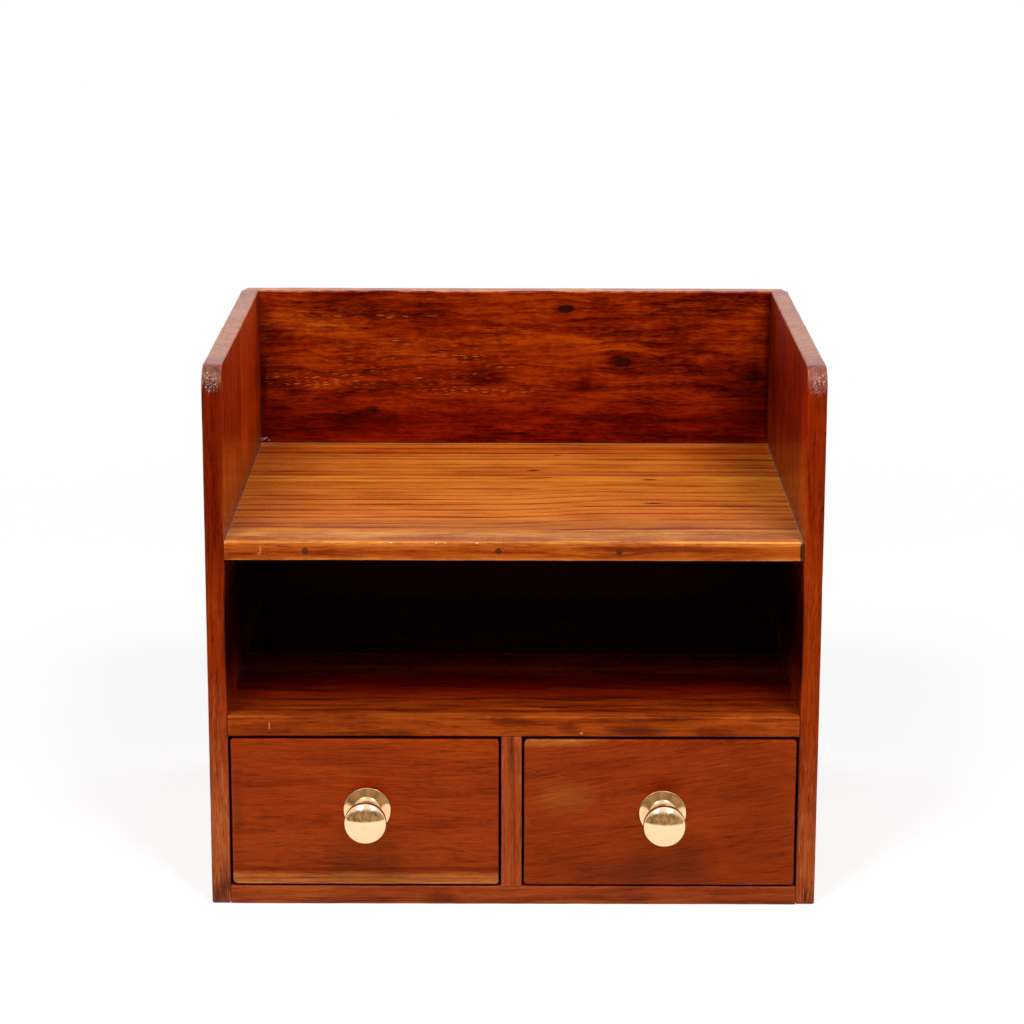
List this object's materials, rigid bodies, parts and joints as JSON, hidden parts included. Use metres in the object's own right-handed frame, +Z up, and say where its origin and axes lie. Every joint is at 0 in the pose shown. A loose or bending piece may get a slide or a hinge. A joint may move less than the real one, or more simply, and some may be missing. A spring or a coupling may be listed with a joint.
{
  "type": "desktop drawer organizer",
  "caption": "Open wooden desk organizer: two drawers with turned knobs below, an open compartment in the middle and a walled tray on top.",
  "frame": {"origin": "on the underside, at the centre of the case's footprint (case and back, without the knobs)", "axes": "+X to the right seen from the front, +Y to the back, +Z up; the drawers open towards -Y"},
  "size_m": [0.33, 0.2835, 0.299],
  "materials": {
    "side_wood": "gloss lacquered hardwood, vertical grain",
    "shelf_wood": "gloss lacquered hardwood, grain across the case",
    "back_wood": "gloss lacquered hardwood with knots",
    "drawer_front_wood": "gloss lacquered hardwood, fine horizontal grain",
    "drawer_box_wood": "plain sanded wood with a thin coat of lacquer",
    "drawer_plywood": "thin plywood, sanded",
    "knob_brass": "polished and lacquered",
    "screw_steel": "zinc plated",
    "nail_steel": "bright drawn wire",
    "putty": "dark wood filler under lacquer"
  },
  "bodies": {
    "case": {"left_side_front_board": "side_wood", "left_side_rear_board": "side_wood", "right_side_front_board": "side_wood", "right_side_rear_board": "side_wood", "lower_back_board": "back_wood", "upper_back_board": "back_wood", "upper_shelf_front_strip": "shelf_wood", "upper_shelf_middle_board": "shelf_wood", "upper_shelf_rear_board": "shelf_wood", "middle_shelf_front_board": "shelf_wood", "middle_shelf_rear_board": "shelf_wood", "bottom_front_board": "shelf_wood", "bottom_rear_board": "shelf_wood", "divider_front_board": "side_wood", "divider_rear_board": "side_wood", "left_side_nails": "nail_steel", "left_side_putty": "putty", "right_side_nails": "nail_steel", "right_side_putty": "putty", "shelf_strip_nails": "nail_steel", "shelf_strip_putty": "putty", "divider_nails": "nail_steel", "divider_putty": "putty", "back_nails": "nail_steel", "back_putty": "putty"},
    "left_drawer": {"left_drawer_front": "drawer_front_wood", "left_drawer_left_side": "drawer_box_wood", "left_drawer_right_side": "drawer_box_wood", "left_drawer_back": "drawer_box_wood", "left_drawer_bottom": "drawer_plywood", "left_drawer_knob": "knob_brass", "left_drawer_knob_screw": "screw_steel", "left_drawer_knob_washer": "screw_steel", "left_drawer_front_nails": "nail_steel", "left_drawer_front_putty": "putty", "left_drawer_back_nails": "nail_steel", "left_drawer_back_putty": "putty", "left_drawer_bottom_nails": "nail_steel"},
    "right_drawer": {"right_drawer_front": "drawer_front_wood", "right_drawer_left_side": "drawer_box_wood", "right_drawer_right_side": "drawer_box_wood", "right_drawer_back": "drawer_box_wood", "right_drawer_bottom": "drawer_plywood", "right_drawer_knob": "knob_brass", "right_drawer_knob_screw": "screw_steel", "right_drawer_knob_washer": "screw_steel", "right_drawer_front_nails": "nail_steel", "right_drawer_front_putty": "putty", "right_drawer_back_nails": "nail_steel", "right_drawer_back_putty": "putty", "right_drawer_bottom_nails": "nail_steel"}
  },
  "joints": [
    {"name": "left_drawer_slide", "type": "slide", "parent": "case", "child": "left_drawer", "axis": [0, -1, 0], "range_m": [0, 0.2]},
    {"name": "right_drawer_slide", "type": "slide", "parent": "case", "child": "right_drawer", "axis": [0, -1, 0], "range_m": [0, 0.2]}
  ]
}
